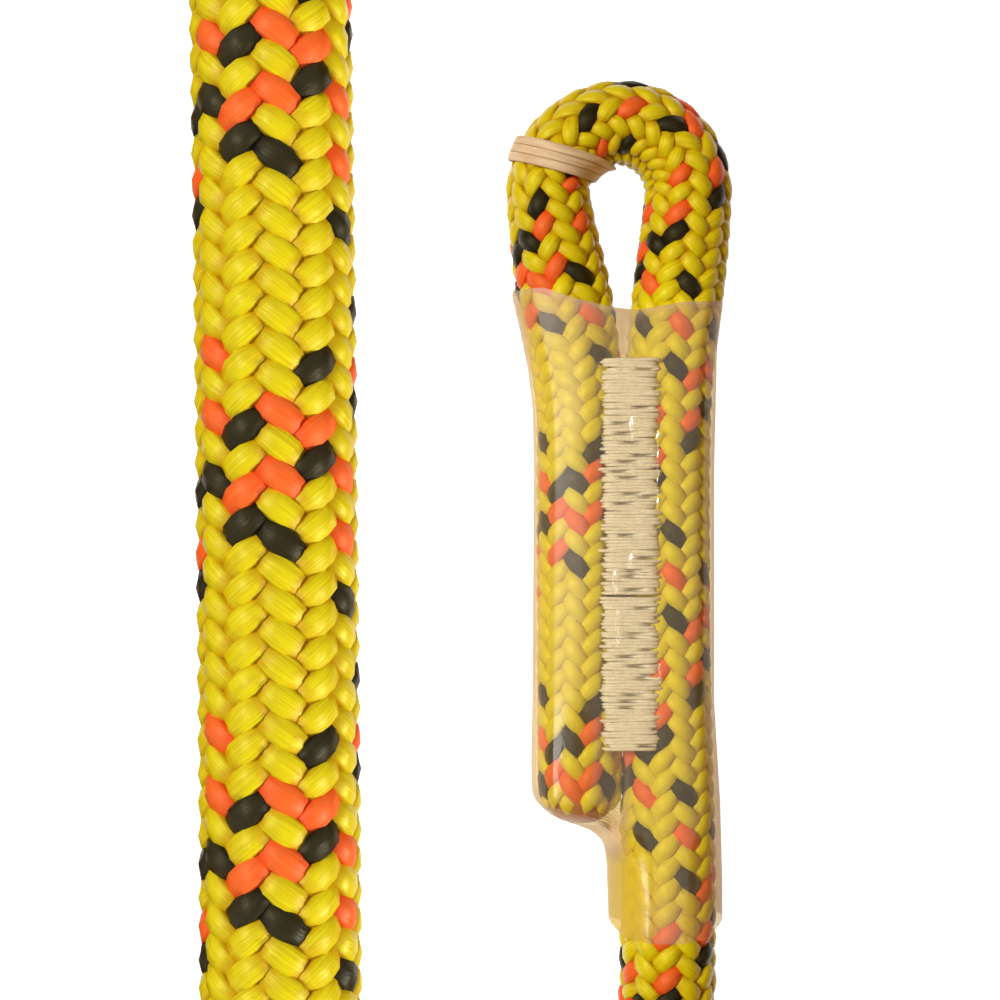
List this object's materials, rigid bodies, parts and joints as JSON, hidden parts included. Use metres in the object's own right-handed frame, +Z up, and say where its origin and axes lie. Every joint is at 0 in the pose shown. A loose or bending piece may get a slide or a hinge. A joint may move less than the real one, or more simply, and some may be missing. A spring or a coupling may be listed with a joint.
{
  "type": "rappelling rope",
  "caption": "Braided kernmantle rope with a sewn eye under a clear shrink sleeve, lying in its own round coil.",
  "frame": {"origin": "on the ground, at the middle of the coil's foot", "axes": "+Z up out of the coil, +Y along the sewn eye from the sleeve to its crown"},
  "size_m": [0.252, 0.252, 0.0963],
  "materials": {
    "braided_sheath": "braided nylon, yellow with orange and black tracers",
    "core_yarn": "twisted white nylon",
    "fused_end": "melted nylon",
    "shrink_film": "clear amber heat shrink",
    "sewing_thread": "waxed polyester thread",
    "band_rubber": "ribbed tan rubber"
  },
  "bodies": {
    "rope": {"eye_sheath": "braided_sheath", "core_strand_1": "core_yarn", "core_strand_2": "core_yarn", "core_strand_3": "core_yarn", "core_strand_4": "core_yarn", "core_strand_5": "core_yarn", "core_strand_6": "core_yarn", "core_strand_7": "core_yarn", "short_end_seal": "fused_end", "free_end_seal": "fused_end", "shrink_sleeve": "shrink_film", "upper_stitching_front": "sewing_thread", "upper_stitching_back": "sewing_thread", "lower_stitching_front": "sewing_thread", "lower_stitching_back": "sewing_thread", "standing_part": "braided_sheath", "spare_coil": "braided_sheath", "crossing_strand": "braided_sheath"},
    "band": {"keeper_band": "band_rubber"}
  },
  "joints": [
    {"name": "band_slide_round_crown", "type": "hinge", "parent": "rope", "child": "band", "pos_m": [0.0146, 0.038, 0.0067], "axis": [0, 0, 1], "range_deg": [-90, 20]}
  ]
}
